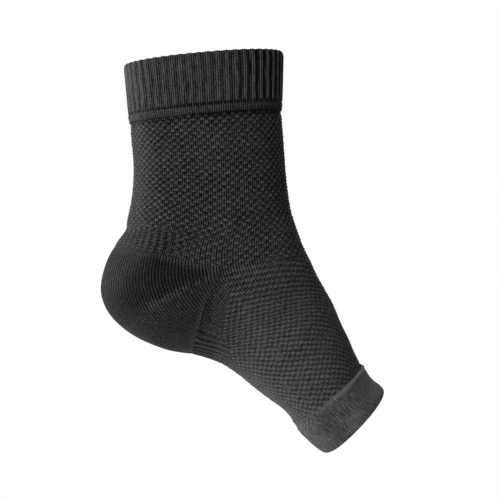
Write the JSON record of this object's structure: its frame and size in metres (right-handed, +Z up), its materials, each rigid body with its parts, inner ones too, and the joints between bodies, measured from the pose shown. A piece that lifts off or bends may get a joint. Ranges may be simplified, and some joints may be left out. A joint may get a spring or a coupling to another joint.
{
  "type": "ankle support",
  "caption": "Knitted compression sleeve for the ankle, open at the leg and the toes, with a ribbed leg cuff, a plain heel pocket and a toe band, in its worn form.",
  "frame": {"origin": "centre of the wearer's ankle joint, where the ankle holds the sleeve", "axes": "+Z up the leg, +X forwards to the toes, +Y to the wearer's left when the toes point along +X"},
  "size_m": [0.1548, 0.0918, 0.2194],
  "materials": {
    "rib_knit": "matt",
    "tuck_knit": "matt",
    "plain_knit": "matt"
  },
  "bodies": {
    "root": {"leg_cuff": "rib_knit", "leg_sleeve": "tuck_knit", "heel_pocket": "plain_knit", "foot_sleeve": "tuck_knit", "toe_cuff": "plain_knit"}
  },
  "joints": []
}
